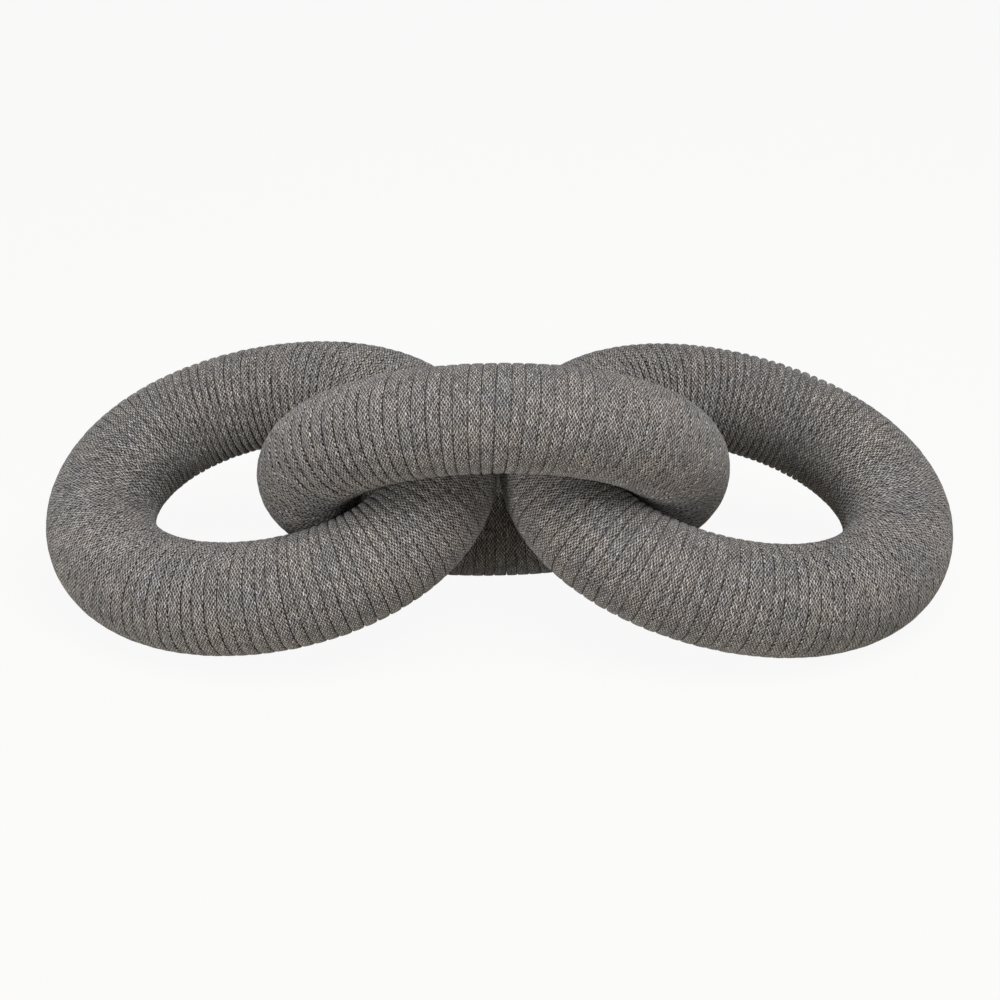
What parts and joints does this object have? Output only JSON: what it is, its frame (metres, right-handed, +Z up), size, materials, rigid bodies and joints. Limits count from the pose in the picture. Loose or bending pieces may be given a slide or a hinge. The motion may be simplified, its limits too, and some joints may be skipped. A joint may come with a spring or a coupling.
{
  "type": "rope link sculpture",
  "caption": "Row of interlocked oval chain links, each a rigid bar wound all over with grey braided cord; a table ornament whose end links swivel.",
  "frame": {"origin": "on the table, under the middle of the row of links", "axes": "+X along the row from the left link to the right link, +Y away from the front, +Z up"},
  "size_m": [0.5786, 0.2152, 0.1921],
  "materials": {
    "cord": "heathered grey flat braided cotton cord, matt",
    "core": "plain sanded pine, hidden under the cord",
    "dowel": "plain beech dowel, glued"
  },
  "bodies": {
    "centre_link": {"centre_link_left_core": "core", "centre_link_right_core": "core", "centre_link_near_dowel": "dowel", "centre_link_far_dowel": "dowel", "centre_link_cord_1": "cord", "centre_link_cord_2": "cord", "centre_link_cord_3": "cord", "centre_link_cord_4": "cord", "centre_link_cord_5": "cord", "centre_link_cord_6": "cord", "centre_link_cord_7": "cord", "centre_link_cord_8": "cord"},
    "left_link": {"left_link_left_core": "core", "left_link_right_core": "core", "left_link_near_dowel": "dowel", "left_link_far_dowel": "dowel", "left_link_cord_1": "cord", "left_link_cord_2": "cord", "left_link_cord_3": "cord", "left_link_cord_4": "cord", "left_link_cord_5": "cord", "left_link_cord_6": "cord", "left_link_cord_7": "cord", "left_link_cord_8": "cord"},
    "right_link": {"right_link_left_core": "core", "right_link_right_core": "core", "right_link_near_dowel": "dowel", "right_link_far_dowel": "dowel", "right_link_cord_1": "cord", "right_link_cord_2": "cord", "right_link_cord_3": "cord", "right_link_cord_4": "cord", "right_link_cord_5": "cord", "right_link_cord_6": "cord", "right_link_cord_7": "cord", "right_link_cord_8": "cord"}
  },
  "joints": [
    {"name": "left_link_swivel", "type": "hinge", "parent": "centre_link", "child": "left_link", "pos_m": [-0.0847, -0.0118, 0], "axis": [0, 0, 1], "range_deg": [0, 9]},
    {"name": "right_link_swivel", "type": "hinge", "parent": "centre_link", "child": "right_link", "pos_m": [0.0781, -0.0118, 0], "axis": [0, 0, -1], "range_deg": [0, 9]}
  ]
}
